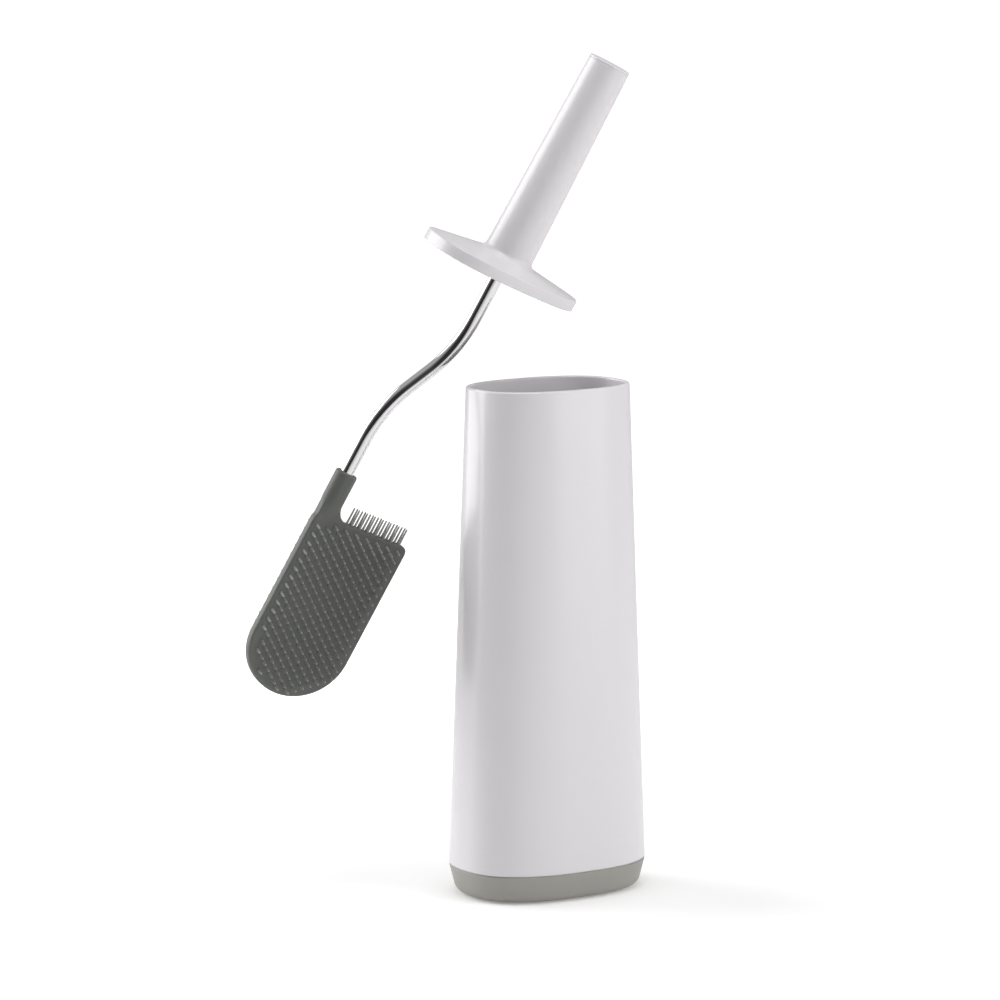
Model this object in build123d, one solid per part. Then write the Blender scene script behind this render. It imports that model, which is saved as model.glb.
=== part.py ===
from build123d import *
import os
from math import cos, pi, radians, sin, sqrt

os.makedirs("parts", exist_ok=True)

# Toilet brush and its holder, in millimetres, +Z up. The origin is the centre of the
# holder's footprint on the floor, with the holder's long axis along X.

# ---- driving dimensions: holder
HOLDER_HEIGHT = 295.0
RIM_LENGTH = 98.0
RIM_DEPTH = 66.0
SPLIT_HEIGHT = 17.0  # where the shell meets the base
SPLIT_LENGTH = 117.0
SPLIT_DEPTH = 84.0
WALL = 2.6
OVAL_POWER = 2.5  # 2 is an ellipse, more is fuller at the corners
BASE_INSET = 4.0  # how far the base's side leans in before its rounding
BASE_ROUND = 6.0
FLOOR_TOP = 4.0
SPIGOT_TOP = 30.0
SPIGOT_WALL = 2.0
FIT_GAP = 0.1
PAD_LENGTH = 85.0
PAD_DEPTH = 52.0
PAD_THICKNESS = 1.5
PAD_PROUD = 0.6

# ---- driving dimensions: brush, in its own frame with the lid's underside at z = 0
HANDLE_TOP = 135.0
HANDLE_TOP_RADIUS = 12.4
HANDLE_FOOT_RADIUS = 14.5
HANDLE_BORE = 9.6
FLARE_FOOT = 11.0  # where the lid's shallow cone meets the rounding into the handle
FLARE_ROUND = 4.0
FLARE_SPANS = 4
LID_LENGTH = 99.0
LID_DEPTH = 67.0
LID_SIDE = 6.8
LID_RECESS = 4.0
LID_PLATE = 2.4
LID_ROUND = 0.8
CAP_THICKNESS = 1.4
CAP_PLUG = 6.0
INSERT_TOP = 52.0
ROD_RADIUS = 4.0
ROD_TOP = 46.0
PIN_RADIUS = 1.5
PIN_HEIGHT = 32.0
BEND_START = -28.7
BEND_RADIUS = 75.6
BEND_ANGLE = 30.0
BEND_STRAIGHT = 15.5
SLIDE_FIT = 0.02

# ---- driving dimensions: rubber head
NECK_TOP = -139.5
NECK_RADIUS = 6.7
NECK_MOUTH = 1.5
SOCKET_RADIUS = 5.0
SOCKET_BOTTOM = -160.0
ROD_BOTTOM = -157.0
NECK_TAPER_TOP = -156.0
NECK_TAPER_BOTTOM = -173.0
SHOULDER = -167.2
GUSSET_ROUND = 9.0
BLADE_LEFT = -35.2
BLADE_RIGHT = 33.8
BLADE_TIP = -275.2
BLADE_END = 31.0
BLADE_THICKNESS = 6.0
BLADE_CORNER = 4.0
EDGE_ROUND = 1.2
ANCHOR_WIDTH = 44.0
ANCHOR_THICKNESS = 2.0
ANCHOR_COVER = 1.6
ANCHOR_BOTTOM = -174.2
ANCHOR_STEM = 6.0
FLEX_GAP = 0.15

# ---- driving dimensions: bristles
BRISTLE_RADIUS = 0.75
BRISTLE_TIP = 0.45
BRISTLE_LENGTH = 6.0
ROW_PITCH = 5.55
COLUMN_PITCH = 3.9
FIRST_ROW = -171.1
ROWS_ABOVE_SEAM = 3
EDGE_MARGIN = 3.6
NECK_CLEAR = 8.0
SHOULDER_BRISTLE_LENGTH = 10.4
SHOULDER_BRISTLE_RADIUS = 0.62
SHOULDER_PITCH = 6.0
SHOULDER_ROW = 1.1
SHOULDER_FIRST = -11.6

# ---- where the brush hangs: leaning in the vertical plane that this heading gives
BRUSH_LEAN = 27.9
LEAN_HEADING = -33.1
BRUSH_ORIGIN = (-24.0, 15.6, 358.0)

# ---- worked out from the above
BEND_SIDE = 2 * BEND_RADIUS * (1 - cos(radians(BEND_ANGLE))) + BEND_STRAIGHT * sin(radians(BEND_ANGLE))
BEND_DROP = 2 * BEND_RADIUS * sin(radians(BEND_ANGLE)) + BEND_STRAIGHT * cos(radians(BEND_ANGLE))
NECK_X = -BEND_SIDE
HALF_THICK = BLADE_THICKNESS / 2
BLADE_WIDTH = BLADE_RIGHT - BLADE_LEFT
BLADE_MID = (BLADE_RIGHT + BLADE_LEFT) / 2
END_CENTRE = BLADE_TIP + BLADE_END
LIP = sqrt((HALF_THICK + FLEX_GAP) ** 2 - HALF_THICK**2)
FLEX_HEIGHT = FIRST_ROW - (ROWS_ABOVE_SEAM - 0.5) * ROW_PITCH / 2 - LIP / 2
LEAN_AXIS = (-sin(radians(LEAN_HEADING)), cos(radians(LEAN_HEADING)), 0)


def oval(length, depth, height, power=OVAL_POWER, points=24):
    """A full oval face in plan: |x/a|^power + |y/b|^power = 1."""
    outline = []
    for k in range(points):
        angle = 2 * pi * k / points
        x = length / 2 * abs(cos(angle)) ** (2 / power)
        y = depth / 2 * abs(sin(angle)) ** (2 / power)
        outline.append((x if cos(angle) > 0 else -x, y if sin(angle) > 0 else -y))
    face = make_face(Spline(outline, periodic=True))
    return Plane.XY.offset(height) * face


def oval_taper(low, high):
    """A solid between two ovals, each (length, depth, height)."""
    return Solid(loft([oval(*low), oval(*high)], ruled=True).wrapped)


def shell_size(height, inset):
    """The shell's outer length and depth at a height, less an inset on every side."""
    share = (height - SPLIT_HEIGHT) / (HOLDER_HEIGHT - SPLIT_HEIGHT)
    length = SPLIT_LENGTH + (RIM_LENGTH - SPLIT_LENGTH) * share
    depth = SPLIT_DEPTH + (RIM_DEPTH - SPLIT_DEPTH) * share
    return length - 2 * inset, depth - 2 * inset, height


def make_outer_shell():
    outside = oval_taper(shell_size(SPLIT_HEIGHT, 0), shell_size(HOLDER_HEIGHT, 0))
    inside = oval_taper(shell_size(SPLIT_HEIGHT - 1, WALL), shell_size(HOLDER_HEIGHT + 1, WALL))
    shell = outside - inside
    return fillet(shell.edges().group_by(Axis.Z)[-1], WALL * 0.42)


def make_base_cup():
    foot = (SPLIT_LENGTH - 2 * BASE_INSET, SPLIT_DEPTH - 2 * BASE_INSET, PAD_PROUD)
    body = oval_taper(foot, (SPLIT_LENGTH, SPLIT_DEPTH, SPLIT_HEIGHT))
    body = fillet(body.edges().group_by(Axis.Z)[0], BASE_ROUND)
    in_shell = WALL + FIT_GAP
    spigot = oval_taper(shell_size(SPLIT_HEIGHT - 3, in_shell), shell_size(SPIGOT_TOP, in_shell))
    cavity_foot = shell_size(FLOOR_TOP, in_shell + SPIGOT_WALL + BASE_INSET)
    cavity_neck = shell_size(SPLIT_HEIGHT, in_shell + SPIGOT_WALL)
    cavity_top = shell_size(SPIGOT_TOP + 1, in_shell + SPIGOT_WALL)
    cavity = oval_taper(cavity_foot, cavity_neck) + oval_taper(cavity_neck, cavity_top)
    pocket = pad_sheet(FIT_GAP)
    return body + spigot - cavity - pocket


def pad_sheet(gap):
    """The non-slip sheet, grown on its sides by a gap."""
    return extrude(oval(PAD_LENGTH + 2 * gap, PAD_DEPTH + 2 * gap, 0), PAD_THICKNESS)


def make_foot_pad():
    """It sits in a shallow pocket under the base, with its lower face at z = 0."""
    return pad_sheet(0)


def lid_edge_section(turn):
    """One section of the lid's rounded top edge, after a turn of 0 to 90 degrees."""
    inset = LID_ROUND * (1 - cos(radians(turn)))
    height = LID_SIDE - LID_ROUND + LID_ROUND * sin(radians(turn))
    return oval(LID_LENGTH - 2 * inset, LID_DEPTH - 2 * inset, height)


def cone_section(share):
    """One section of the lid's shallow cone, from its edge (0) to the rounding's foot (1)."""
    foot = HANDLE_FOOT_RADIUS + FLARE_ROUND
    length = (LID_LENGTH - 2 * LID_ROUND) * (1 - share) + 2 * foot * share
    depth = (LID_DEPTH - 2 * LID_ROUND) * (1 - share) + 2 * foot * share
    height = LID_SIDE + (FLARE_FOOT - LID_SIDE) * share
    return oval(length, depth, height, OVAL_POWER + (2 - OVAL_POWER) * share)


def flare_section(turn):
    """One round section of the rounding into the handle, after a turn of 0 to 90 degrees."""
    radius = HANDLE_FOOT_RADIUS + FLARE_ROUND * (1 - sin(radians(turn)))
    height = FLARE_FOOT + FLARE_ROUND * (1 - cos(radians(turn)))
    return oval(2 * radius, 2 * radius, height, 2)


def make_handle_shell():
    """Lid and handle in one moulding, hollow from below and from above."""
    sections = [oval(LID_LENGTH, LID_DEPTH, 0)]
    for step in range(4):
        sections.append(lid_edge_section(step * 30))
    for step in range(1, FLARE_SPANS + 1):
        sections.append(cone_section(step / FLARE_SPANS))
    for step in range(1, FLARE_SPANS + 1):
        sections.append(flare_section(step * 90 / FLARE_SPANS))
    sections.append(oval(2 * HANDLE_TOP_RADIUS, 2 * HANDLE_TOP_RADIUS, HANDLE_TOP, 2))
    outside = Solid(loft(sections, ruled=True).wrapped)
    recess = extrude(oval(LID_LENGTH - 2 * WALL, LID_DEPTH - 2 * WALL, 0), LID_RECESS)
    bore = Pos(0, 0, HANDLE_TOP / 2) * Cylinder(HANDLE_BORE, HANDLE_TOP + 2)
    return outside - recess - bore


def make_handle_cap():
    disc = Pos(0, 0, HANDLE_TOP + CAP_THICKNESS / 2) * Cylinder(HANDLE_TOP_RADIUS, CAP_THICKNESS)
    disc = fillet(disc.edges().group_by(Axis.Z)[-1], 0.7)
    plug = Pos(0, 0, HANDLE_TOP - CAP_PLUG / 2) * Cylinder(HANDLE_BORE - SLIDE_FIT, CAP_PLUG)
    return disc + plug


def make_lid_plate():
    inset = WALL + FIT_GAP
    plate = extrude(oval(LID_LENGTH - 2 * inset, LID_DEPTH - 2 * inset, 0), LID_PLATE)
    return plate - Cylinder(ROD_RADIUS + SLIDE_FIT, 4 * LID_PLATE)


def pin_solid(radius, length):
    return Pos(0, 0, PIN_HEIGHT) * Rot(90, 0, 0) * Cylinder(radius, length)


def make_rod_insert():
    height = INSERT_TOP - LID_RECESS
    plug = Pos(0, 0, LID_RECESS + height / 2) * Cylinder(HANDLE_BORE - SLIDE_FIT, height)
    hole_height = ROD_TOP - LID_RECESS
    hole = Pos(0, 0, LID_RECESS + hole_height / 2) * Cylinder(ROD_RADIUS + SLIDE_FIT, hole_height)
    return plug - hole - pin_solid(PIN_RADIUS + SLIDE_FIT, 3 * HANDLE_BORE)


def make_insert_pin():
    return pin_solid(PIN_RADIUS, 2 * HANDLE_BORE - 0.6)


def rod_path():
    """Straight out of the lid, an S-bend towards -X, and straight again down to the neck."""
    reach = BEND_RADIUS * sin(radians(BEND_ANGLE))
    swing = BEND_RADIUS * (1 - cos(radians(BEND_ANGLE)))
    half_reach = BEND_RADIUS * sin(radians(BEND_ANGLE / 2))
    half_swing = BEND_RADIUS * (1 - cos(radians(BEND_ANGLE / 2)))
    bottom = BEND_START - BEND_DROP
    start = (0, BEND_START)
    end_1 = (-swing, BEND_START - reach)
    start_2 = (swing - BEND_SIDE, bottom + reach)
    end_2 = (-BEND_SIDE, bottom)
    pieces = [
        Line((0, ROD_TOP), start),
        ThreePointArc(start, (-half_swing, BEND_START - half_reach), end_1),
        Line(end_1, start_2),
        ThreePointArc(start_2, (half_swing - BEND_SIDE, bottom + half_reach), end_2),
        Line(end_2, (-BEND_SIDE, ROD_BOTTOM)),
    ]
    return Plane.XZ * Wire([edge for piece in pieces for edge in piece.edges()])


def make_rod():
    section = Plane.XY.offset(ROD_TOP) * Circle(ROD_RADIUS)
    rod = sweep(section, path=rod_path())
    return rod - pin_solid(PIN_RADIUS + SLIDE_FIT, 3 * ROD_RADIUS)


def upright_box(x, width, top, bottom):
    """A thin upright plate in the blade's plane."""
    return Pos(x, 0, (top + bottom) / 2) * Box(width, ANCHOR_THICKNESS, top - bottom)


def upright_round(radius, top, bottom):
    """A cylinder on the neck's axis."""
    return Pos(NECK_X, 0, (top + bottom) / 2) * Cylinder(radius, top - bottom)


def make_neck_socket():
    """Tube round the rod's end, with a stem and a cross plate that anchor the rubber."""
    tube = upright_round(SOCKET_RADIUS, NECK_TOP - NECK_MOUTH, SOCKET_BOTTOM)
    stem = upright_box(NECK_X, ANCHOR_STEM, ROD_BOTTOM - 1, ANCHOR_BOTTOM)
    plate_x = NECK_X - ANCHOR_STEM / 2 + ANCHOR_WIDTH / 2
    plate = upright_box(plate_x, ANCHOR_WIDTH, SHOULDER - ANCHOR_COVER, ANCHOR_BOTTOM)
    return tube + stem + plate - upright_round(ROD_RADIUS + SLIDE_FIT, NECK_TOP, ROD_BOTTOM)


def blade_slab():
    """The whole flat rubber blade: straight sides, a half-oval tip and rounded edges."""
    left = Line((BLADE_LEFT, END_CENTRE), (BLADE_LEFT, SHOULDER))
    top = Line((BLADE_LEFT, SHOULDER), (BLADE_RIGHT, SHOULDER))
    right = Line((BLADE_RIGHT, SHOULDER), (BLADE_RIGHT, END_CENTRE))
    centre = (BLADE_MID, END_CENTRE)
    tip = EllipticalCenterArc(centre, BLADE_WIDTH / 2, BLADE_END, start_angle=180, arc_size=180)
    face = Plane.XZ * make_face(left + top + right + tip)
    slab = extrude(face, HALF_THICK, both=True)
    corners = slab.edges().filter_by(Axis.Y).sort_by(Axis.Z)[-2:]
    slab = fillet(corners, BLADE_CORNER)
    faces = slab.faces().filter_by(Axis.Y)
    return fillet([edge for face in faces for edge in face.edges()], EDGE_ROUND)


def flex_round(radius):
    """A cylinder on the line about which the blade bends."""
    return Pos(BLADE_MID, 0, FLEX_HEIGHT) * Rot(0, 90, 0) * Cylinder(radius, 2 * BLADE_WIDTH)


def below_flex():
    size = 4 * BLADE_WIDTH
    return Pos(BLADE_MID, 0, FLEX_HEIGHT - size / 2) * Box(size, size, size)


def make_gusset():
    """The web behind the neck that rounds its side into the shoulder."""
    left = NECK_X - NECK_RADIUS + 0.5
    side = NECK_X + NECK_RADIUS
    end = side + GUSSET_ROUND
    high = SHOULDER + GUSSET_ROUND
    low = SHOULDER - 1
    middle = GUSSET_ROUND * (1 - cos(radians(45)))
    curve = ThreePointArc((side, high), (side + middle, SHOULDER + middle), (end, SHOULDER))
    rest = Polyline(
        (end, SHOULDER), (end, low), (left, low), (left, NECK_TAPER_TOP), (side, NECK_TAPER_TOP), (side, high)
    )
    return extrude(Plane.XZ * make_face(curve + rest), HALF_THICK - EDGE_ROUND / 2, both=True)


def make_head_neck():
    """Rubber neck over the socket, its gusset, and the strip of blade above the flex line."""
    neck = upright_round(NECK_RADIUS, NECK_TOP, NECK_TAPER_TOP)
    neck = fillet(neck.edges().group_by(Axis.Z)[-1], EDGE_ROUND)
    round_end = Pos(NECK_X, 0, NECK_TAPER_TOP) * Circle(NECK_RADIUS)
    flat_end = Pos(NECK_X + 1, 0, NECK_TAPER_BOTTOM) * Ellipse(NECK_RADIUS - 0.4, HALF_THICK - 0.2)
    taper = loft([round_end, flat_end])
    strip = blade_slab() - below_flex() - flex_round(HALF_THICK + FLEX_GAP)
    rubber = neck + taper + make_gusset() + strip
    socket_space = upright_round(SOCKET_RADIUS, NECK_TOP - NECK_MOUTH, SOCKET_BOTTOM)
    mouth = upright_round(ROD_RADIUS + FIT_GAP, NECK_TOP, NECK_TOP - NECK_MOUTH)
    return rubber - socket_space - make_neck_socket() - mouth


def make_head_blade():
    slab = blade_slab()
    return (slab & below_flex()) + (slab & flex_round(HALF_THICK))


def in_blade(x, z):
    """True where a bristle can stand on the flat of the blade."""
    if x < BLADE_LEFT + EDGE_MARGIN or x > BLADE_RIGHT - EDGE_MARGIN:
        return False
    if z > NECK_TAPER_BOTTOM + 1 and x < NECK_X + NECK_CLEAR:
        return False
    if z > END_CENTRE:
        return True
    across = (x - BLADE_MID) / (BLADE_WIDTH / 2 - EDGE_MARGIN)
    down = (z - END_CENTRE) / (BLADE_END - EDGE_MARGIN)
    return across**2 + down**2 < 1


def bristle_grid(first, last):
    """Staggered places between two half-rows, counted down from the shoulder."""
    places = []
    for row in range(first, last):
        z = FIRST_ROW - row * ROW_PITCH / 2
        x = BLADE_LEFT + EDGE_MARGIN + ((row + 1) % 2) * COLUMN_PITCH
        while x < BLADE_RIGHT:
            if in_blade(x, z):
                places.append((x, z))
            x += 2 * COLUMN_PITCH
    return places


def bristle(radius, length):
    """One tapered peg standing on z = 0."""
    return Pos(0, 0, length / 2) * Cone(radius, BRISTLE_TIP, length)


def face_bristles(places, side):
    """Tapered pegs standing on one face of the blade; side is -1 at the front, +1 at the back."""
    pegs = []
    peg = bristle(BRISTLE_RADIUS, BRISTLE_LENGTH)
    for x, z in places:
        stand = Plane((x, side * HALF_THICK, z), x_dir=(1, 0, 0), z_dir=(0, side, 0))
        pegs.append(stand * peg)
    return pegs


def make_shoulder_bristles():
    pegs = []
    peg = bristle(SHOULDER_BRISTLE_RADIUS, SHOULDER_BRISTLE_LENGTH)
    for row in (-1, 0, 1):
        x = SHOULDER_FIRST + abs(row) * SHOULDER_PITCH / 2
        while x < BLADE_RIGHT - BLADE_CORNER:
            pegs.append(Pos(x, row * SHOULDER_ROW, SHOULDER) * peg)
            x += SHOULDER_PITCH
    return Compound(children=pegs)


LAST_ROW = int((FIRST_ROW - BLADE_TIP) / (ROW_PITCH / 2)) + 1
upper_places = bristle_grid(0, ROWS_ABOVE_SEAM)
lower_places = bristle_grid(ROWS_ABOVE_SEAM, LAST_ROW)

holder = {
    "outer_shell": make_outer_shell(),
    "base_cup": make_base_cup(),
    "foot_pad": make_foot_pad(),
}
brush = {
    "handle_shell": make_handle_shell(),
    "handle_cap": make_handle_cap(),
    "lid_plate": make_lid_plate(),
    "rod_insert": make_rod_insert(),
    "insert_pin": make_insert_pin(),
    "rod": make_rod(),
    "neck_socket": make_neck_socket(),
    "head_neck": make_head_neck(),
    "upper_bristles": Compound(children=face_bristles(upper_places, -1) + face_bristles(upper_places, 1)),
    "shoulder_bristles": make_shoulder_bristles(),
    "head_blade": make_head_blade(),
    "front_bristles": Compound(children=face_bristles(lower_places, -1)),
    "back_bristles": Compound(children=face_bristles(lower_places, 1)),
}


def hang(shape):
    """Move a brush piece from the brush's own frame to where the brush hangs."""
    return shape.rotate(Axis((0, 0, 0), LEAN_AXIS), BRUSH_LEAN).moved(Location(BRUSH_ORIGIN))


for name, shape in holder.items():
    export_step(shape, f"parts/{name}.step")
for name, shape in brush.items():
    export_step(hang(shape), f"parts/{name}.step")

flex_point = hang(Vertex(BLADE_MID, 0, FLEX_HEIGHT))
flex_end = hang(Vertex(BLADE_MID + 1, 0, FLEX_HEIGHT))
print("flex point", [round(v, 3) for v in flex_point.center()])
print("flex axis", [round(v, 5) for v in flex_end.center() - flex_point.center()])
print("bristles on a face", len(upper_places), "+", len(lower_places))
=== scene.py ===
# %% [markdown]
# # A toilet brush and its tapered holder
# The object is a tall oval holder in glossy white plastic on a grey base, with a brush that
# floats beside it, leaning to the right. The brush has a white handle that flares into an
# oval lid, a polished S-bent rod and a flat grey rubber head full of short bristles.
#
# The engineering model is already there: it gives every place, size and joint. This lesson
# builds the visible skins around it, in metres, in the same frame.

# %% Load the engineering model
import math

import bmesh
import bpy
from mathutils import Matrix, Vector


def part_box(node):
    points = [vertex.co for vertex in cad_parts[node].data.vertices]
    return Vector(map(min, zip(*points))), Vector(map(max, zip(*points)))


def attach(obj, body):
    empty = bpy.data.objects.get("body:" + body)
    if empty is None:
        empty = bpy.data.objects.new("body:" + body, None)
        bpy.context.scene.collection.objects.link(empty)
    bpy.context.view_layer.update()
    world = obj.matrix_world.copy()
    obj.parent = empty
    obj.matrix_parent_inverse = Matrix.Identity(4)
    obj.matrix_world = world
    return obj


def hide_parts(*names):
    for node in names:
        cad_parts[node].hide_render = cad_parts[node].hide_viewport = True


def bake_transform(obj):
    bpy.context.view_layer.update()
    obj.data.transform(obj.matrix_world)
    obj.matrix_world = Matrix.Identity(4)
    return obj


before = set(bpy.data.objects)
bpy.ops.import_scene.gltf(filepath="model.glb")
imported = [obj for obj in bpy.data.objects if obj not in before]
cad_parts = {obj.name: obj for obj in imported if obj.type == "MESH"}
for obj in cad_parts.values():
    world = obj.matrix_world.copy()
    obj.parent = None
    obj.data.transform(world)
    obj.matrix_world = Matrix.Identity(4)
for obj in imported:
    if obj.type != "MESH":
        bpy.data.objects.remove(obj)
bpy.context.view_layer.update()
bpy.ops.object.select_all(action="DESELECT")

# %% [markdown]
# ## The camera
# It stands about three metres away and two thirds of a metre up, turned 33 degrees round
# the holder from its long side. A long lens keeps the walls nearly parallel, as in a
# catalogue picture.

# %% Place the camera
CAMERA_HEADING = math.radians(-33.1)
CAMERA_DISTANCE = 2.935
CAMERA_HEIGHT = 0.662
CAMERA_AIM = Vector((-0.023, 0.015, 0.2276))
CAMERA_LENS = 185.7


def round_the_object(heading, distance, height):
    """A point at this heading round the holder's axis; heading 0 is straight in front."""
    return Vector((math.sin(heading) * distance, -math.cos(heading) * distance, height))


bpy.ops.object.camera_add(location=round_the_object(CAMERA_HEADING, CAMERA_DISTANCE, CAMERA_HEIGHT))
camera = bpy.context.object
camera.name = "catalogue_camera"
camera.data.lens = CAMERA_LENS
camera.rotation_mode = "QUATERNION"
camera.rotation_quaternion = (CAMERA_AIM - camera.location).to_track_quat("-Z", "Y")
bpy.context.scene.camera = camera
print("camera at", [round(v, 3) for v in camera.location])

# %% [markdown]
# ## The studio
# White plastic only shows its form if some of the room is darker than the rest. The
# strongest light comes from the left and a little behind, a weaker one from the right and
# one from overhead. The world looks white to the camera but lights the object weakly, and
# least of all from the side the camera is on, so each round part gets a soft grey band a
# little left of its middle and brighter edges.

# %% Lights, world and floor
KEY_POWER = 10.0
FILL_POWER = 22.0
TOP_POWER = 14.0
WORLD_LIGHT = 0.44
WORLD_DARK = 0.03
DARK_TURN = -14.0
DARK_RISE = 0.1
DARK_EDGE = 0.35
DARK_CORE = 0.9
LIGHT_AIM = Vector((0, 0, 0.25))
FLOOR_RADIUS = 14.0
FLOOR_POINTS = 96


def softbox(name, turn, distance, height, size, power):
    """A soft rectangular light at a turn in degrees from the camera, aimed at the object."""
    place = round_the_object(CAMERA_HEADING + math.radians(turn), distance, height)
    bpy.ops.object.light_add(type="AREA", location=place)
    light = bpy.context.object
    light.name = name
    light.data.shape = "RECTANGLE"
    light.data.size, light.data.size_y = size
    light.data.energy = power
    light.rotation_mode = "QUATERNION"
    light.rotation_quaternion = (LIGHT_AIM - light.location).to_track_quat("-Z", "Y")
    light.visible_camera = False
    return light


softbox("right_softbox", turn=68, distance=1.6, height=0.75, size=(1.1, 1.8), power=KEY_POWER)
softbox("left_softbox", turn=-110, distance=1.5, height=0.6, size=(1.2, 1.8), power=FILL_POWER)
softbox("top_softbox", turn=20, distance=0.5, height=2.1, size=(1.2, 1.2), power=TOP_POWER)

world = bpy.data.worlds.new("white_room")
bpy.context.scene.world = world
world.use_nodes = True
world_nodes = world.node_tree.nodes
world_links = world.node_tree.links
background = world_nodes["Background"]
light_path = world_nodes.new("ShaderNodeLightPath")
direction = world_nodes.new("ShaderNodeTexCoord").outputs["Generated"]
facing = world_nodes.new("ShaderNodeVectorMath")
facing.operation = "DOT_PRODUCT"
facing.inputs[1].default_value = round_the_object(CAMERA_HEADING + math.radians(DARK_TURN), 1.0, DARK_RISE)
world_links.new(direction, facing.inputs[0])
dim = world_nodes.new("ShaderNodeMapRange")
dim.interpolation_type = "SMOOTHSTEP"
dim.inputs["From Min"].default_value = DARK_EDGE
dim.inputs["From Max"].default_value = DARK_CORE
dim.inputs["To Min"].default_value = WORLD_LIGHT
dim.inputs["To Max"].default_value = WORLD_DARK
world_links.new(facing.outputs["Value"], dim.inputs["Value"])
strength = world_nodes.new("ShaderNodeMix")
strength.inputs["B"].default_value = 1.0
world_links.new(light_path.outputs["Is Camera Ray"], strength.inputs["Factor"])
world_links.new(dim.outputs["Result"], strength.inputs["A"])
world_links.new(strength.outputs["Result"], background.inputs["Strength"])
background.inputs["Color"].default_value = (1.0, 1.0, 1.0, 1.0)
bpy.context.scene.view_settings.view_transform = "Standard"

bpy.ops.mesh.primitive_circle_add(
    vertices=FLOOR_POINTS, radius=FLOOR_RADIUS, fill_type="NGON", location=(0, 0, 0)
)
floor = bpy.context.object
floor.name = "studio_floor"

# %% [markdown]
# ## Finishes
# Moulded plastic is never perfectly even. Two effects are shared by every finish here, so
# each is a node group: a faint swell and grain for the surface, and a broken line where an
# edge catches wear. A group puts out only heights, masks and values; the shader itself
# stays in each material.

# %% A group for moulded surfaces
def group_sockets(group, inputs, outputs):
    """Give a node group its named inputs, with default values, and its named outputs."""
    for name, value in inputs.items():
        socket = group.interface.new_socket(name=name, in_out="INPUT", socket_type="NodeSocketFloat")
        socket.default_value = value
    for name in outputs:
        group.interface.new_socket(name=name, in_out="OUTPUT", socket_type="NodeSocketFloat")
    return group.nodes.new("NodeGroupInput"), group.nodes.new("NodeGroupOutput")


def noise(group, coordinates, scale, detail):
    """A noise pattern on object coordinates at a scale that may be a number or a socket."""
    node = group.nodes.new("ShaderNodeTexNoise")
    node.inputs["Detail"].default_value = detail
    group.links.new(coordinates, node.inputs["Vector"])
    if isinstance(scale, (int, float)):
        node.inputs["Scale"].default_value = scale
    else:
        group.links.new(scale, node.inputs["Scale"])
    return node.outputs["Fac"]


def ranged(group, value, low, high):
    """Map a 0 to 1 value to a range given by two sockets or numbers."""
    node = group.nodes.new("ShaderNodeMapRange")
    group.links.new(value, node.inputs["Value"])
    for socket, limit in (("To Min", low), ("To Max", high)):
        if isinstance(limit, (int, float)):
            node.inputs[socket].default_value = limit
        else:
            group.links.new(limit, node.inputs[socket])
    return node.outputs["Result"]


moulded = bpy.data.node_groups.new("moulded_surface", "ShaderNodeTree")
given, made = group_sockets(
    moulded,
    {"Swell Scale": 40.0, "Grain Scale": 900.0, "Smooth": 0.12, "Rough": 0.2, "Grain Share": 0.3},
    ["Height", "Roughness", "Mottle"],
)
place = moulded.nodes.new("ShaderNodeTexCoord").outputs["Object"]
SMUDGE_SCALE = 23.0
swell = noise(moulded, place, given.outputs["Swell Scale"], detail=2.0)
grain = noise(moulded, place, given.outputs["Grain Scale"], detail=4.0)
smudge = noise(moulded, place, SMUDGE_SCALE, detail=5.0)
height = moulded.nodes.new("ShaderNodeMix")
moulded.links.new(given.outputs["Grain Share"], height.inputs["Factor"])
moulded.links.new(swell, height.inputs["A"])
moulded.links.new(grain, height.inputs["B"])
moulded.links.new(height.outputs["Result"], made.inputs["Height"])
rough = ranged(moulded, smudge, given.outputs["Smooth"], given.outputs["Rough"])
moulded.links.new(rough, made.inputs["Roughness"])
moulded.links.new(smudge, made.inputs["Mottle"])
print("group", moulded.name, "puts out", [n.name for n in made.inputs if n.name])

# %% A group for worn edges
EDGE_START = 0.52
EDGE_FULL = 0.62
edges = bpy.data.node_groups.new("edge_line", "ShaderNodeTree")
given, made = group_sockets(edges, {"Breakup": 120.0}, ["Edge"])
geometry = edges.nodes.new("ShaderNodeNewGeometry")
object_place = edges.nodes.new("ShaderNodeTexCoord").outputs["Object"]
broken = noise(edges, object_place, given.outputs["Breakup"], detail=3.0)
mask = edges.nodes.new("ShaderNodeMapRange")
mask.inputs["From Min"].default_value = EDGE_START
mask.inputs["From Max"].default_value = EDGE_FULL
edges.links.new(geometry.outputs["Pointiness"], mask.inputs["Value"])
speckle = edges.nodes.new("ShaderNodeMath")
speckle.operation = "MULTIPLY"
edges.links.new(mask.outputs["Result"], speckle.inputs[0])
edges.links.new(broken, speckle.inputs[1])
edges.links.new(speckle.outputs[0], made.inputs["Edge"])
print("group", edges.name, "is ready")

# %% A helper that builds each finish from the two groups
RELIEF_STRENGTH = 0.25


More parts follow.
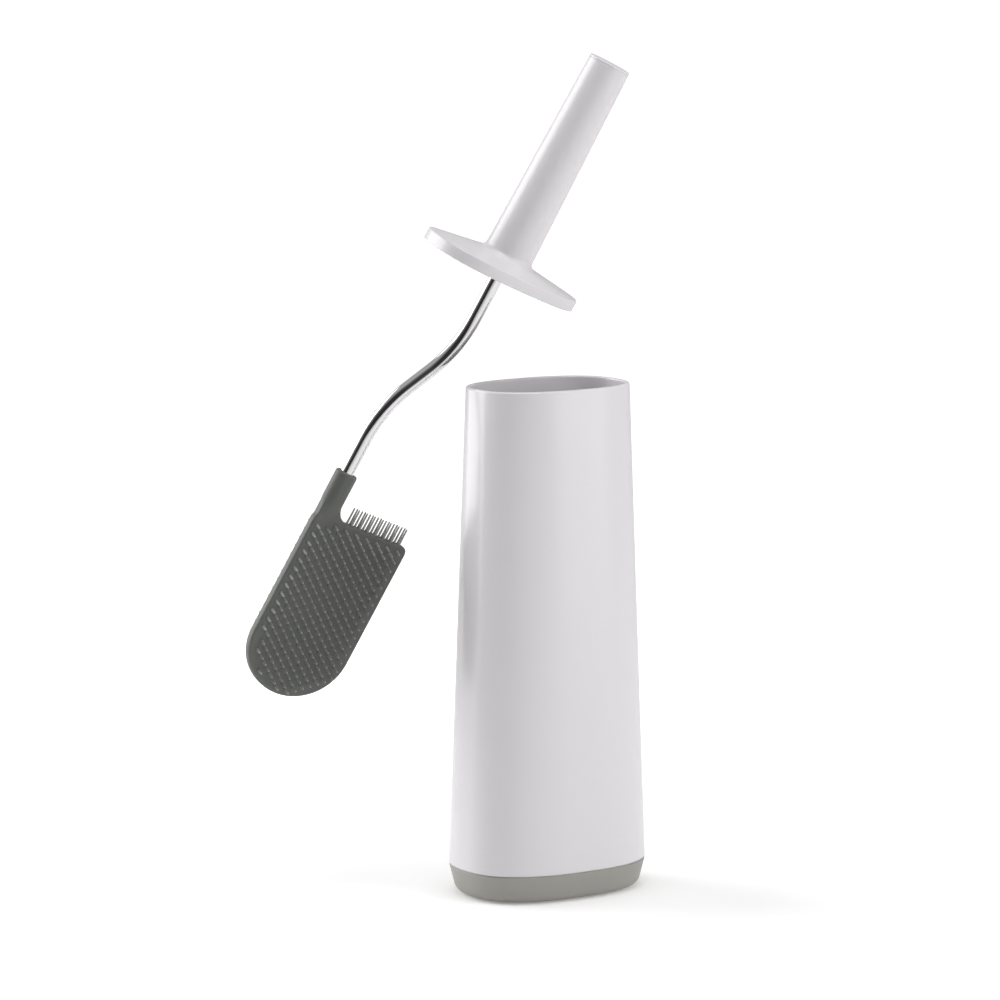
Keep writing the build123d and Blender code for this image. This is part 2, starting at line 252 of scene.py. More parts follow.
def finish_material(name, base, deep, edge_tint, bump, scales, roughness, grain_share):
    """A finish: its colour in the open, in mottled spots and on edges, its relief and its shine.

    bump is the relief's depth in metres, scales are those of the swell and the grain, and
    roughness runs from its smoothest to its roughest spots.
    """
    material = bpy.data.materials.new(name)
    material.use_nodes = True
    nodes, links = material.node_tree.nodes, material.node_tree.links
    shader = nodes["Principled BSDF"]
    surface = nodes.new("ShaderNodeGroup")
    surface.node_tree = moulded
    surface.inputs["Swell Scale"].default_value, surface.inputs["Grain Scale"].default_value = scales
    surface.inputs["Smooth"].default_value, surface.inputs["Rough"].default_value = roughness
    surface.inputs["Grain Share"].default_value = grain_share
    line = nodes.new("ShaderNodeGroup")
    line.node_tree = edges
    tone = nodes.new("ShaderNodeMix")
    tone.data_type = "RGBA"
    tone.inputs["A"].default_value = (*base, 1.0)
    tone.inputs["B"].default_value = (*deep, 1.0)
    links.new(surface.outputs["Mottle"], tone.inputs["Factor"])
    worn = nodes.new("ShaderNodeMix")
    worn.data_type = "RGBA"
    worn.inputs["B"].default_value = (*edge_tint, 1.0)
    links.new(line.outputs["Edge"], worn.inputs["Factor"])
    links.new(tone.outputs["Result"], worn.inputs["A"])
    links.new(worn.outputs["Result"], shader.inputs["Base Color"])
    links.new(surface.outputs["Roughness"], shader.inputs["Roughness"])
    relief = nodes.new("ShaderNodeBump")
    relief.inputs["Strength"].default_value = RELIEF_STRENGTH
    relief.inputs["Distance"].default_value = bump
    links.new(surface.outputs["Height"], relief.inputs["Height"])
    links.new(relief.outputs["Normal"], shader.inputs["Normal"])
    return material


# %% The plastics and rubbers
white_plastic = finish_material(
    "white_gloss_plastic",
    base=(0.80, 0.776, 0.80),
    deep=(0.797, 0.773, 0.797),
    edge_tint=(0.80, 0.778, 0.80),
    bump=0.00004,
    scales=(26, 700),
    roughness=(0.25, 0.28),
    grain_share=0.15,
)
white_shader = white_plastic.node_tree.nodes["Principled BSDF"]
white_shader.inputs["Coat Weight"].default_value = 0.15
white_shader.inputs["Coat Roughness"].default_value = 0.12
grey_plastic = finish_material(
    "warm_grey_base_plastic",
    base=(0.355, 0.345, 0.315),
    deep=(0.335, 0.325, 0.295),
    edge_tint=(0.42, 0.41, 0.38),
    bump=0.0002,
    scales=(60, 1500),
    roughness=(0.38, 0.5),
    grain_share=0.7,
)
head_rubber = finish_material(
    "grey_head_rubber",
    base=(0.122, 0.127, 0.118),
    deep=(0.1, 0.105, 0.097),
    edge_tint=(0.17, 0.175, 0.165),
    bump=0.00025,
    scales=(80, 1400),
    roughness=(0.42, 0.58),
    grain_share=0.6,
)
# The pegs are the same rubber as the head; this lighter colour is a painted highlight for the light they
# catch.
peg_painted_highlight_rubber = finish_material(
    "peg_rubber_painted_highlight",
    base=(0.34, 0.345, 0.33),
    deep=(0.29, 0.295, 0.28),
    edge_tint=(0.3, 0.3, 0.29),
    bump=0.0001,
    scales=(80, 1400),
    roughness=(0.3, 0.42),
    grain_share=0.6,
)
pad_rubber = finish_material(
    "black_pad_rubber",
    base=(0.03, 0.03, 0.03),
    deep=(0.02, 0.02, 0.02),
    edge_tint=(0.06, 0.06, 0.06),
    bump=0.0004,
    scales=(90, 1200),
    roughness=(0.7, 0.85),
    grain_share=0.8,
)
insert_plastic = finish_material(
    "plain_insert_plastic",
    base=(0.4, 0.4, 0.39),
    deep=(0.36, 0.36, 0.35),
    edge_tint=(0.5, 0.5, 0.49),
    bump=0.0003,
    scales=(60, 900),
    roughness=(0.4, 0.55),
    grain_share=0.6,
)
print("finishes:", [m.name for m in bpy.data.materials])

# %% The polished rod and the ground pin
METAL_SCALES = (120, 2200)
METAL_GRAIN_SHARE = 0.8
SMUDGED_SHARE = 0.94


def metal_material(name, colour, roughness, bump):
    """Polished or ground steel with fine grain and faint smudges."""
    smudged = tuple(channel * SMUDGED_SHARE for channel in colour)
    material = finish_material(
        name, colour, smudged, colour, bump, METAL_SCALES, roughness, METAL_GRAIN_SHARE
    )
    material.node_tree.nodes["Principled BSDF"].inputs["Metallic"].default_value = 1.0
    return material


rod_chrome = metal_material("polished_rod_chrome", (0.83, 0.82, 0.83), (0.03, 0.075), 0.00002)
pin_steel = metal_material("ground_pin_steel", (0.56, 0.56, 0.57), (0.22, 0.34), 0.0001)
print("metals:", rod_chrome.name, pin_steel.name)

# %% [markdown]
# ## The floor's finish
# White paper that glows strongly to the camera, so that it ends as plain white, and only
# weakly onto the object. Near the object it glows less, which paints the floor a little darker there, a
# painted shade round the object, and leaves room for the real shadow.

# %% Make the floor's finish
FLOOR_WHITE = 0.7
FLOOR_NEAR = 0.22
FLOOR_LIGHT = 0.12
NEAR_REACH = 0.13
FAR_REACH = 0.6
floor_paper = bpy.data.materials.new("white_paper_sweep")
floor_paper.use_nodes = True
paper = floor_paper.node_tree.nodes["Principled BSDF"]
paper.inputs["Base Color"].default_value = (0.92, 0.92, 0.92, 1.0)
paper.inputs["Roughness"].default_value = 0.9
paper.inputs["Emission Color"].default_value = (1.0, 1.0, 1.0, 1.0)
paper_nodes, paper_links = floor_paper.node_tree.nodes, floor_paper.node_tree.links
glow = paper_nodes.new("ShaderNodeMapRange")
glow.inputs["To Min"].default_value = FLOOR_LIGHT
reach = paper_nodes.new("ShaderNodeVectorMath")
reach.operation = "LENGTH"
paper_links.new(paper_nodes.new("ShaderNodeNewGeometry").outputs["Position"], reach.inputs[0])
# Less glow near the object: a painted shade on the floor round it.
spread = paper_nodes.new("ShaderNodeMapRange")
spread.inputs["From Min"].default_value = NEAR_REACH
spread.inputs["From Max"].default_value = FAR_REACH
spread.inputs["To Min"].default_value = FLOOR_NEAR
spread.inputs["To Max"].default_value = FLOOR_WHITE
paper_links.new(reach.outputs["Value"], spread.inputs["Value"])
paper_links.new(spread.outputs["Result"], glow.inputs["To Max"])
paper_links.new(paper_nodes.new("ShaderNodeLightPath").outputs["Is Camera Ray"], glow.inputs["Value"])
paper_links.new(glow.outputs["Result"], paper.inputs["Emission Strength"])
floor.data.materials.append(floor_paper)
print("floor finish:", floor_paper.name)

# %% Give the engineering parts that stay visible their finish
NODE_FINISH = {
    "foot_pad": pad_rubber,
    "rod_insert": insert_plastic,
    "insert_pin": pin_steel,
    "neck_socket": insert_plastic,
}
for node_name, material in NODE_FINISH.items():
    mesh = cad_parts[node_name].data
    mesh.materials.clear()
    mesh.materials.append(material)
print("finished nodes:", sorted(NODE_FINISH))

# %% [markdown]
# ## Modelling by rings
# Nearly every piece here is a stack of closed outlines: ovals for the holder, rounds for the
# handle and the rod, blade outlines for the head. One circle is extruded upwards again and
# again in edit mode, and then each ring is laid on its own outline. That keeps the faces in
# clean bands, and a ring with no size closes an end.

# %% A piece from a stack of rings
MM = 0.001
WELD = 0.002 * MM
SMOOTH_BELOW = math.radians(40)


def ring_stack(name, rings, points):
    """A mesh through the rings; each ring is a function from a share of a turn to a place."""
    bpy.ops.object.select_all(action="DESELECT")
    bpy.ops.mesh.primitive_circle_add(vertices=points, radius=1.0, fill_type="NOTHING", location=(0, 0, 0))
    piece = bpy.context.object
    piece.name = name
    bpy.ops.object.mode_set(mode="EDIT")
    bpy.ops.mesh.select_all(action="SELECT")
    for _ in rings[1:]:
        bpy.ops.mesh.extrude_edges_move(TRANSFORM_OT_translate={"value": (0, 0, 1)})
    bpy.ops.object.mode_set(mode="OBJECT")
    for vertex in piece.data.vertices:
        turn = math.atan2(vertex.co.y, vertex.co.x) / math.tau % 1.0
        share = round(turn * points) % points / points
        vertex.co = rings[round(vertex.co.z)](share)
    bpy.ops.object.mode_set(mode="EDIT")
    bpy.ops.mesh.select_all(action="SELECT")
    bpy.ops.mesh.remove_doubles(threshold=WELD)
    bpy.ops.mesh.normals_make_consistent(inside=False)
    bpy.ops.object.mode_set(mode="OBJECT")
    bpy.ops.object.shade_smooth_by_angle(angle=SMOOTH_BELOW)
    return piece


def finish_piece(piece, material, body, nodes):
    """Give a piece its finish, let it ride on its body if one is given, and hide the nodes it replaces."""
    piece.data.materials.clear()
    piece.data.materials.append(material)
    if body:
        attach(piece, body)
    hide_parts(*nodes)
    print(piece.name, "has", len(piece.data.polygons), "faces")


# %% An oval ring
OVAL_POWER = 2.5


def oval_ring(length, depth, height, power=OVAL_POWER):
    """A full oval at a height: |x/a|^power + |y/b|^power = 1, in millimetres."""
    def place(share):
        along, across = math.cos(share * math.tau), math.sin(share * math.tau)
        if length == 0:
            return Vector((0, 0, height * MM))
        reach = (abs(2 * along / length) ** power + abs(2 * across / depth) ** power) ** (-1 / power)
        return Vector((along * reach * MM, across * reach * MM, height * MM))
    return place


def round_ring(radius, height):
    """A round ring on the piece's own axis."""
    return oval_ring(2 * radius, 2 * radius, height, 2.0)


def arc(start, end, steps):
    """Evenly spaced angles in radians between two angles in degrees, both included."""
    return [math.radians(start + (end - start) * step / steps) for step in range(steps + 1)]


print("rings are ready")

# %% [markdown]
# ## The holder's shell
# A glossy moulding 295 mm tall that narrows towards its rim, with an even wall. The rim is a
# full half-round, because a moulded lip is never sharp, and the lower edge has a small bevel
# that leaves a narrow groove above the base.

# %% Model the shell
HOLDER_HEIGHT = 295.0
SPLIT_HEIGHT = 17.0
WALL = 2.6
SEAM = 0.7
OVAL_POINTS = 128
SPLIT_SIZE = (117.0, 84.0)
RIM_SIZE = (98.0, 66.0)


def shell_ring(height, inset):
    """An oval on the holder's tapered side, less an inset on every side."""
    share = (height - SPLIT_HEIGHT) / (HOLDER_HEIGHT - SPLIT_HEIGHT)
    length, depth = (low + (high - low) * share for low, high in zip(SPLIT_SIZE, RIM_SIZE))
    return oval_ring(length - 2 * inset, depth - 2 * inset, height)


OUTSIDE_BANDS = 8
INSIDE_BANDS = 4
shell_rings = [shell_ring(SPLIT_HEIGHT, SEAM)]
for step in range(OUTSIDE_BANDS + 1):
    rise = (HOLDER_HEIGHT - SPLIT_HEIGHT - SEAM - WALL / 2) * step / OUTSIDE_BANDS
    shell_rings.append(shell_ring(SPLIT_HEIGHT + SEAM + rise, 0))
for angle in arc(20, 180, 8):
    lip_height = HOLDER_HEIGHT + WALL / 2 * (math.sin(angle) - 1)
    shell_rings.append(shell_ring(lip_height, WALL / 2 * (1 - math.cos(angle))))
for step in range(1, INSIDE_BANDS + 1):
    drop = (HOLDER_HEIGHT - WALL / 2 - SPLIT_HEIGHT) * step / INSIDE_BANDS
    shell_rings.append(shell_ring(HOLDER_HEIGHT - WALL / 2 - drop, WALL))
shell_rings.append(shell_rings[0])
shell = ring_stack("glossy_shell", shell_rings, OVAL_POINTS)
finish_piece(shell, white_plastic, "holder", ["outer_shell"])

# %% [markdown]
# ## The grey base
# A shallow cup in matt grey plastic. Its side leans in and rounds under to the floor, and a
# spigot inside the shell holds the two together. Looking down the well, one sees the
# spigot's edge and the cup's floor, so the inside is modelled as well.

# %% Model the base
BASE_FOOT = 0.6
BASE_INSET = 4.0
BASE_ROUND = 6.0
CUP_FLOOR = 4.0
SPIGOT_TOP = 30.0
SPIGOT_OUT = 2.7
SPIGOT_IN = 4.7
SPIGOT_BEVEL = 0.5
CUP_CORNER = 1.0
CUP_DRAFT = 0.4
POCKET_SIZE = (85.2, 52.2)
POCKET_TOP = 1.5
side_lean = math.degrees(math.atan2(BASE_INSET, SPLIT_HEIGHT - BASE_FOOT))
round_inset = BASE_INSET + BASE_ROUND / math.tan(math.radians(90 + side_lean) / 2)


def base_ring(height, inset):
    """An oval parallel to the base's widest outline."""
    return oval_ring(SPLIT_SIZE[0] - 2 * inset, SPLIT_SIZE[1] - 2 * inset, height)


base_rings = [
    oval_ring(0, 0, CUP_FLOOR),
    shell_ring(CUP_FLOOR, SPIGOT_IN + BASE_INSET + CUP_CORNER),
    shell_ring(CUP_FLOOR + CUP_CORNER, SPIGOT_IN + BASE_INSET - CUP_DRAFT),
    shell_ring(SPLIT_HEIGHT, SPIGOT_IN),
    shell_ring(SPIGOT_TOP - SPIGOT_BEVEL, SPIGOT_IN),
    shell_ring(SPIGOT_TOP, SPIGOT_IN - SPIGOT_BEVEL),
    shell_ring(SPIGOT_TOP, SPIGOT_OUT + SPIGOT_BEVEL),
    shell_ring(SPIGOT_TOP - SPIGOT_BEVEL, SPIGOT_OUT),
    shell_ring(SPLIT_HEIGHT, SPIGOT_OUT),
    base_ring(SPLIT_HEIGHT, SEAM),
    base_ring(SPLIT_HEIGHT - SEAM, BASE_INSET * SEAM / (SPLIT_HEIGHT - BASE_FOOT)),
]
for angle in arc(-side_lean, -90, 10):
    foot_height = BASE_FOOT + BASE_ROUND * (1 + math.sin(angle))
    base_rings.append(base_ring(foot_height, round_inset - BASE_ROUND * math.cos(angle)))
base_rings += [oval_ring(*POCKET_SIZE, height) for height in (BASE_FOOT, POCKET_TOP)]
base_rings.append(oval_ring(0, 0, POCKET_TOP))
base = ring_stack("grey_base", base_rings, OVAL_POINTS)
finish_piece(base, grey_plastic, "holder", ["base_cup"])

# %% [markdown]
# ## Where the brush hangs
# Each brush piece is modelled upright, with the lid's underside at height zero, and then its
# mesh is turned and moved to the place where the brush hangs. The object itself stays at the
# origin, so patterns see one common frame.

# %% The brush's place
BRUSH_LEAN = 27.9
LEAN_HEADING = math.radians(-33.1)
BRUSH_ORIGIN = Vector((-24.0, 15.6, 358.0)) * MM
lean_axis = Vector((-math.sin(LEAN_HEADING), math.cos(LEAN_HEADING), 0))
brush_place = Matrix.Translation(BRUSH_ORIGIN) @ Matrix.Rotation(math.radians(BRUSH_LEAN), 4, lean_axis)


def hang(piece):
    """Move a finished brush mesh to where the brush hangs."""
    piece.data.transform(brush_place)
    piece.data.update()


handle_low, handle_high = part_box("handle_shell")
print("brush hangs at", [round(v, 4) for v in BRUSH_ORIGIN])
print("handle box:", [round(v, 3) for v in (*handle_low, *handle_high)])

# %% [markdown]
# ## Lid and handle
# One moulding: a lid with an upright edge, a nearly flat cone above it, a small rounding and
# a slim handle that narrows towards its top. The cone changes from the lid's full oval to a
# round, so the ring's shape changes as well as its size.

# %% Model the lid and handle
LID_SIZE = (99.0, 67.0)
LID_SIDE = 6.8
LID_ROUND = 0.8
LID_RECESS = 4.0
EDGE = 0.3
FLARE_FOOT = 11.0
FLARE_ROUND = 4.0
HANDLE_FOOT = 14.5
HANDLE_TIP = 12.4
HANDLE_TOP = 135.0
HANDLE_BORE = 9.6


def lid_ring(height, inset):
    """An oval parallel to the lid's edge."""
    return oval_ring(LID_SIZE[0] - 2 * inset, LID_SIZE[1] - 2 * inset, height)


def cone_ring(share):
    """A ring between the lid's edge (0) and the foot of the handle's rounding (1)."""
    foot = 2 * (HANDLE_FOOT + FLARE_ROUND)
    length, depth = ((size - 2 * LID_ROUND) * (1 - share) + foot * share for size in LID_SIZE)
    height = LID_SIDE + (FLARE_FOOT - LID_SIDE) * share
    return oval_ring(length, depth, height, OVAL_POWER + (2 - OVAL_POWER) * share)


CONE_BANDS = 8
HANDLE_BANDS = 6
handle_rings = [lid_ring(EDGE, WALL), lid_ring(0, WALL - EDGE), lid_ring(0, EDGE), lid_ring(EDGE, 0)]
for angle in arc(0, 90, 5):
    side_height = LID_SIDE - LID_ROUND * (1 - math.sin(angle))
    handle_rings.append(lid_ring(side_height, LID_ROUND * (1 - math.cos(angle))))
for step in range(1, CONE_BANDS + 1):
    handle_rings.append(cone_ring(step / CONE_BANDS))
for angle in arc(15, 90, 7):
    radius = HANDLE_FOOT + FLARE_ROUND * (1 - math.sin(angle))
    handle_rings.append(round_ring(radius, FLARE_FOOT + FLARE_ROUND * (1 - math.cos(angle))))
for step in range(1, HANDLE_BANDS + 1):
    height = FLARE_FOOT + FLARE_ROUND + (HANDLE_TOP - EDGE - FLARE_FOOT - FLARE_ROUND) * step / HANDLE_BANDS
    handle_rings.append(round_ring(HANDLE_FOOT + (HANDLE_TIP - HANDLE_FOOT) * step / HANDLE_BANDS, height))
handle_rings += [round_ring(HANDLE_TIP - EDGE, HANDLE_TOP), round_ring(HANDLE_BORE, HANDLE_TOP)]
handle_rings += [round_ring(HANDLE_BORE, LID_RECESS), lid_ring(LID_RECESS, WALL), handle_rings[0]]
handle = ring_stack("lid_and_handle", handle_rings, OVAL_POINTS)
hang(handle)
finish_piece(handle, white_plastic, "brush", ["handle_shell"])

# %% The handle's end cap and the plate under the lid
CAP = 1.4
CAP_ROUND = 0.7
CAP_PLUG = 6.0
CAP_CROWN = 0.1
CAP_CROWN_HALFWAY = 0.08
PLUG_GAP = 0.05
PLATE = 2.4
PLATE_GAP = 0.1
ROD_HOLE = 4.05
cap_rings = [round_ring(0, HANDLE_TOP + CAP + CAP_CROWN)]
cap_rings.append(round_ring(HANDLE_TIP * 0.5, HANDLE_TOP + CAP + CAP_CROWN_HALFWAY))
for angle in arc(90, 0, 5):
    radius = HANDLE_TIP - CAP_ROUND * (1 - math.cos(angle))
    cap_rings.append(round_ring(radius, HANDLE_TOP + CAP - CAP_ROUND * (1 - math.sin(angle))))
cap_rings += [round_ring(HANDLE_TIP, HANDLE_TOP + EDGE), round_ring(HANDLE_TIP - EDGE, HANDLE_TOP)]
cap_rings += [round_ring(HANDLE_BORE - PLUG_GAP, height) for height in (HANDLE_TOP, HANDLE_TOP - CAP_PLUG)]
cap_rings.append(round_ring(0, HANDLE_TOP - CAP_PLUG))
cap = ring_stack("handle_end_cap", cap_rings, OVAL_POINTS)
hang(cap)
finish_piece(cap, white_plastic, "brush", ["handle_cap"])

plate_rings = [round_ring(ROD_HOLE, PLATE), round_ring(ROD_HOLE, EDGE), round_ring(ROD_HOLE + EDGE, 0)]
plate_rings.append(lid_ring(0, WALL + EDGE + PLATE_GAP))
plate_rings += [lid_ring(height, WALL + PLATE_GAP) for height in (EDGE, PLATE)]
plate_rings.append(plate_rings[0])
plate = ring_stack("lid_underside_plate", plate_rings, OVAL_POINTS)
hang(plate)
finish_piece(plate, white_plastic, "brush", ["lid_plate"])

# %% [markdown]
# ## The polished rod
# A steel rod leaves the lid, swings to one side in a long S and runs straight again into the
# head's neck. Rings are set square to the path, closer together where it bends, so that
# reflections run along it without facets.

# %% Model the rod
ROD_RADIUS = 4.0
ROD_TOP = 46.0
ROD_BOTTOM = -157.0
BEND_START = -28.7
BEND_RADIUS = 75.6
BEND_ANGLE = 30.0
BEND_STRAIGHT = 15.5
BEND_BANDS = 16
ROD_POINTS = 40
turned = math.radians(BEND_ANGLE)
swing = BEND_RADIUS * (1 - math.cos(turned))
side_step = 2 * swing + BEND_STRAIGHT * math.sin(turned)
bend_end = BEND_START - 2 * BEND_RADIUS * math.sin(turned) - BEND_STRAIGHT * math.cos(turned)


def square_ring(x, height, heading, radius):
    """A round ring square to the rod where it runs at this angle from straight down."""
    def place(share):
        out = radius * math.cos(share * math.tau)
        depth = radius * math.sin(share * math.tau)
        return Vector((x + out * math.cos(heading), depth, height - out * math.sin(heading))) * MM
    return place


rod_rings = [square_ring(0, ROD_TOP, 0, radius) for radius in (0, ROD_RADIUS)]
rod_rings.append(square_ring(0, 0, 0, ROD_RADIUS))
for angle in arc(0, BEND_ANGLE, BEND_BANDS):
    bend_x = -BEND_RADIUS * (1 - math.cos(angle))
    rod_rings.append(square_ring(bend_x, BEND_START - BEND_RADIUS * math.sin(angle), angle, ROD_RADIUS))
for angle in arc(BEND_ANGLE, 0, BEND_BANDS):
    bend_x = -side_step + BEND_RADIUS * (1 - math.cos(angle))
    rod_rings.append(square_ring(bend_x, bend_end + BEND_RADIUS * math.sin(angle), angle, ROD_RADIUS))
rod_rings += [square_ring(-side_step, ROD_BOTTOM, 0, radius) for radius in (ROD_RADIUS, 0)]
rod = ring_stack("bent_rod", rod_rings, ROD_POINTS)
hang(rod)
finish_piece(rod, rod_chrome, "brush", ["rod"])

# %% [markdown]
# ## The rubber head
# On the real brush the neck, the web beside it and the flat blade are one soft moulding.
# Three overlapping closed shapes are joined, turned into one skin by a voxel remesh and
# smoothed, which gives the soft inner corners that rubber has.

# %% The blade's outline
NECK_TOP = -139.5
NECK_RADIUS = 6.7
NECK_TAPER = (-156.0, -173.0)
SHOULDER = -167.2
BLADE = (-35.2, 33.8)
BLADE_TIP = -275.2
BLADE_END = 31.0
BLADE_HALF = 3.0
BLADE_CORNER = 4.0
BLADE_ROUND = 1.3
BLADE_POLE = -215.0
blade_middle = sum(BLADE) / 2
blade_half_width = (BLADE[1] - BLADE[0]) / 2
end_centre = BLADE_TIP + BLADE_END


def blade_outline(inset):
    """The blade's outline in x and z, less an inset, with the same number of points each time."""
    outline = []
    for angle in arc(180, 360, 48):
        across = (blade_half_width - inset) * math.cos(angle)
        outline.append((blade_middle + across, end_centre + (BLADE_END - inset) * math.sin(angle)))
    for start, x in ((0, BLADE[1] - BLADE_CORNER), (90, BLADE[0] + BLADE_CORNER)):
        for angle in arc(start, start + 90, 7):
            corner = BLADE_CORNER - inset
            outline.append((x + corner * math.cos(angle), SHOULDER - BLADE_CORNER + corner * math.sin(angle)))
    return outline


def outline_ring(outline, depth):
    """A ring that goes through the points of an outline at one depth."""
    def place(share):
        x, z = outline[round(share * len(outline)) % len(outline)]
        return Vector((x, depth, z)) * MM
    return place


def pole(x, depth, z):
    """A ring with no size, which closes an end."""
    return lambda share: Vector((x, depth, z)) * MM


blade_rings = [pole(blade_middle, -BLADE_HALF, BLADE_POLE)]
for angle in arc(-90, 0, 5):
    depth = -BLADE_HALF + BLADE_ROUND * (1 + math.sin(angle))
    blade_rings.append(outline_ring(blade_outline(BLADE_ROUND * (1 - math.cos(angle))), depth))
for angle in arc(0, 90, 5):
    depth = BLADE_HALF - BLADE_ROUND * (1 - math.sin(angle))
    blade_rings.append(outline_ring(blade_outline(BLADE_ROUND * (1 - math.cos(angle))), depth))
blade_rings.append(pole(blade_middle, BLADE_HALF, BLADE_POLE))
blade = ring_stack("rubber_head", blade_rings, len(blade_outline(0)))
print("blade outline points:", len(blade_outline(0)))

# %% The neck and the web beside it
NECK_MOUTH = 1.5
NECK_ROUND = 1.2
NECK_SLIM = 0.3
NECK_SUNK = 0.2
NECK_SHIFT = 1.0
NECK_BANDS = 12
NECK_POINTS = 48
GUSSET = 9.0
WEB_SUNK = 0.4
WEB_EDGE = 0.5
WEB_DOWN = (2.0, 4.0)
WEB_POLE = 1.0
neck_x = -side_step


def neck_ring(across, depth, height, shift=0.0):
    """An elliptical ring on the neck's axis."""
    def place(share):
        x = neck_x + shift + across * math.cos(share * math.tau)
        return Vector((x, depth * math.sin(share * math.tau), height)) * MM
    return place


neck_rings = [neck_ring(0, 0, NECK_TOP - NECK_MOUTH)]
neck_rings += [neck_ring(ROD_HOLE, ROD_HOLE, NECK_TOP - drop) for drop in (NECK_MOUTH, EDGE)]
for angle in arc(90, 0, 5):
    radius = NECK_RADIUS - NECK_ROUND * (1 - math.cos(angle))
    neck_rings.append(neck_ring(radius, radius, NECK_TOP - NECK_ROUND * (1 - math.sin(angle))))
for step in range(NECK_BANDS + 1):
    share = step / NECK_BANDS
    ease = share * share * (3 - 2 * share)
    depth = NECK_RADIUS + (BLADE_HALF - NECK_SUNK - NECK_RADIUS) * ease
    height = NECK_TAPER[0] + (NECK_TAPER[1] - NECK_TAPER[0]) * share
    neck_rings.append(neck_ring(NECK_RADIUS - NECK_SLIM * ease, depth, height, NECK_SHIFT * ease))
neck_rings.append(neck_ring(0, 0, NECK_TAPER[1], NECK_SHIFT))
neck = ring_stack("neck_start", neck_rings, NECK_POINTS)

neck_side = neck_x + NECK_RADIUS
web_outline = []
for angle in arc(180, 270, 14):
    web_x = neck_side + GUSSET * (1 + math.cos(angle))
    web_outline.append((web_x, SHOULDER + GUSSET * (1 + math.sin(angle))))
web_left = neck_x - NECK_RADIUS + WEB_EDGE
web_half = BLADE_HALF - WEB_SUNK
web_outline += [(neck_side + GUSSET, SHOULDER - WEB_DOWN[0]), (web_left, SHOULDER - WEB_DOWN[1])]
web_outline += [(web_left, NECK_TAPER[0]), (neck_side, NECK_TAPER[0])]
web_rings = [pole(neck_side - WEB_POLE, -web_half, SHOULDER)]
web_rings += [outline_ring(web_outline, depth) for depth in (-web_half, web_half)]
web_rings.append(pole(neck_side - WEB_POLE, web_half, SHOULDER))
web = ring_stack("web_start", web_rings, len(web_outline))

# %% Join them into one skin
SKIN_VOXEL = 0.6 * MM
SKIN_SMOOTHING = 6
bpy.ops.object.select_all(action="DESELECT")
for part in (web, neck, blade):
    part.select_set(True)
bpy.context.view_layer.objects.active = blade
bpy.ops.object.join()
remesh = blade.modifiers.new("one_skin", "REMESH")
remesh.mode = "VOXEL"
remesh.voxel_size = SKIN_VOXEL
smooth = blade.modifiers.new("soft_corners", "SMOOTH")
smooth.factor = 0.5
smooth.iterations = SKIN_SMOOTHING
for name in ("one_skin", "soft_corners"):
    bpy.ops.object.modifier_apply(modifier=name)
bpy.ops.object.shade_smooth()
hang(blade)
print("head skin faces:", len(blade.data.polygons))

# %% Give the skin its finish in place of the head's nodes
finish_piece(blade, head_rubber, None, ["head_neck", "head_blade"])
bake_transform(blade)

# %% [markdown]
# ## The bristles
# Short tapered pegs stand in staggered rows on both faces, leaning a little towards the
# blade's tip, and a longer fringe stands on the shoulder. One peg of a few dozen faces is
# modelled and then copied to every place, because there are more than five hundred.

# %% One peg, and a way to plant many
PEG_LENGTH = 4.4
PEG_PROFILE = ((1.05, -0.3), (0.85, 0.06), (0.62, 0.9), (0.42, 0.97), (0.0, 1.0))
PEG_LEAN = math.radians(8)
PEG_POINTS = 8
FRINGE_LENGTH = 10.4
FRINGE_THICKNESS = 0.85


def model_peg(name, length, thickness):
    """One peg that stands on z = 0, its root a little below it."""
    rings = [round_ring(0, PEG_PROFILE[0][1])]
    for radius, share in PEG_PROFILE:
        rings.append(round_ring(radius * thickness, share * length if share > 0 else share))
    return ring_stack(name, rings, PEG_POINTS)


def plant(name, peg, places):
    """One mesh with a copy of the peg at every place."""
    planted = bmesh.new()
    for place in places:
        copy = peg.data.copy()
        copy.transform(place)
        planted.from_mesh(copy)
        bpy.data.meshes.remove(copy)
    mesh = bpy.data.meshes.new(name)
    planted.to_mesh(mesh)
    planted.free()
    piece = bpy.data.objects.new(name, mesh)
    bpy.context.collection.objects.link(piece)
    bpy.data.objects.remove(peg)
    return piece


# %% Plant both faces
ROW_PITCH = 5.55
COLUMN_PITCH = 3.9
FIRST_ROW = -171.1
EDGE_MARGIN = 3.6
NECK_CLEAR = 8.0
TAPER_CLEAR = 1.0


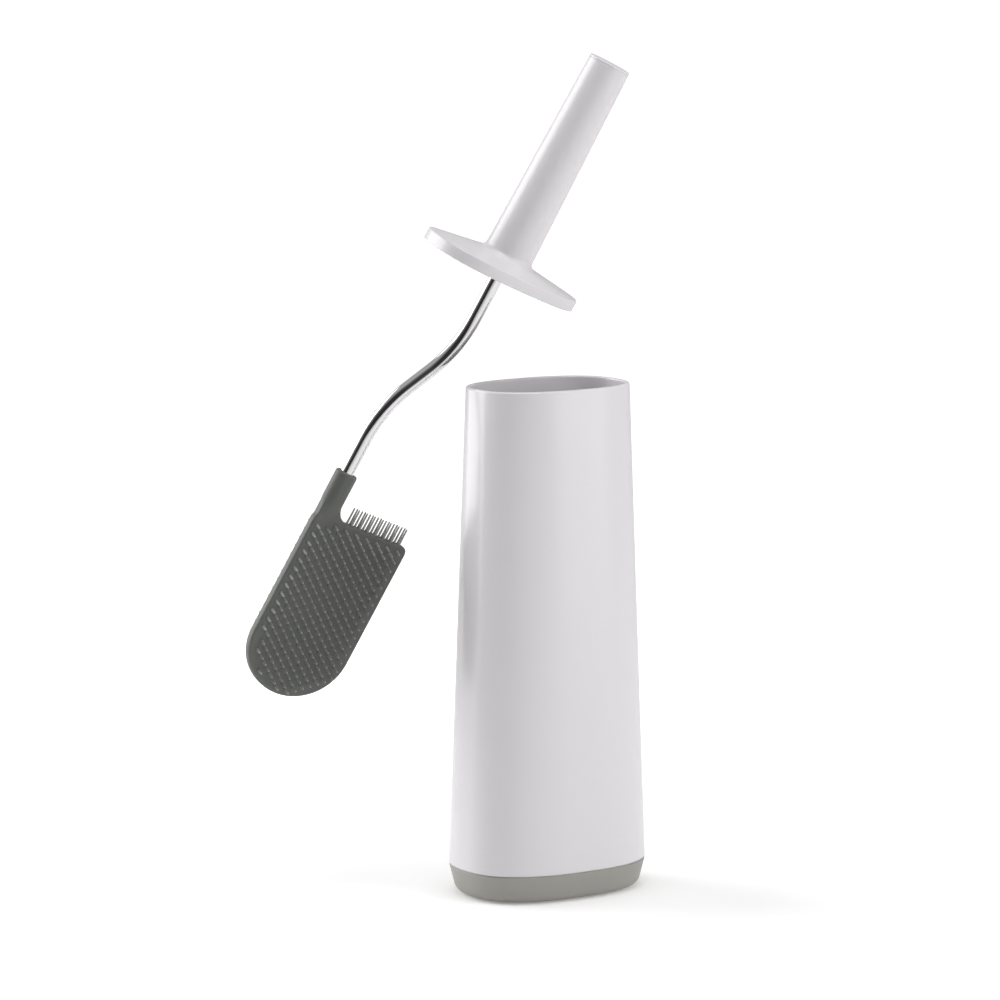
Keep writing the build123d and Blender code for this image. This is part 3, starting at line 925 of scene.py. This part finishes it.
def on_blade(x, z):
    """True where a peg can stand on the flat of the blade."""
    if z > NECK_TAPER[1] + TAPER_CLEAR and x < neck_x + NECK_CLEAR:
        return False
    if not BLADE[0] + EDGE_MARGIN <= x <= BLADE[1] - EDGE_MARGIN:
        return False
    across = (x - blade_middle) / (blade_half_width - EDGE_MARGIN)
    down = min(0.0, z - end_centre) / (BLADE_END - EDGE_MARGIN)
    return z > end_centre or across**2 + down**2 < 1


face_places = []
for row in range(int((FIRST_ROW - BLADE_TIP) / (ROW_PITCH / 2))):
    peg_z = FIRST_ROW - row * ROW_PITCH / 2
    peg_x = BLADE[0] + EDGE_MARGIN + (row + 1) % 2 * COLUMN_PITCH
    while peg_x < BLADE[1]:
        if on_blade(peg_x, peg_z):
            for side in (-1, 1):
                stand = Matrix.Translation(Vector((peg_x, side * BLADE_HALF, peg_z)) * MM)
                face_places.append(stand @ Matrix.Rotation(-side * (math.pi / 2 + PEG_LEAN), 4, "X"))
        peg_x += 2 * COLUMN_PITCH
face_bristles = plant("face_bristles", model_peg("face_peg", PEG_LENGTH, 1.0), face_places)
face_bristles.data.shade_smooth()
hang(face_bristles)
FACE_NODES = ["upper_bristles", "front_bristles", "back_bristles"]
finish_piece(face_bristles, peg_painted_highlight_rubber, None, FACE_NODES)
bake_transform(face_bristles)
print("pegs on both faces:", len(face_places))

# %% Plant the fringe on the shoulder
FRINGE_PITCH = 6.0
FRINGE_ROW = 1.1
FRINGE_FIRST = -11.6
fringe_places = []
for row in (-1, 0, 1):
    peg_x = FRINGE_FIRST + abs(row) * FRINGE_PITCH / 2
    while peg_x < BLADE[1] - BLADE_CORNER:
        fringe_places.append(Matrix.Translation(Vector((peg_x, row * FRINGE_ROW, SHOULDER)) * MM))
        peg_x += FRINGE_PITCH
fringe = plant("shoulder_fringe", model_peg("fringe_peg", FRINGE_LENGTH, FRINGE_THICKNESS), fringe_places)
fringe.data.shade_smooth()
hang(fringe)
finish_piece(fringe, peg_painted_highlight_rubber, "brush", ["shoulder_bristles"])
print("pegs in the fringe:", len(fringe_places))
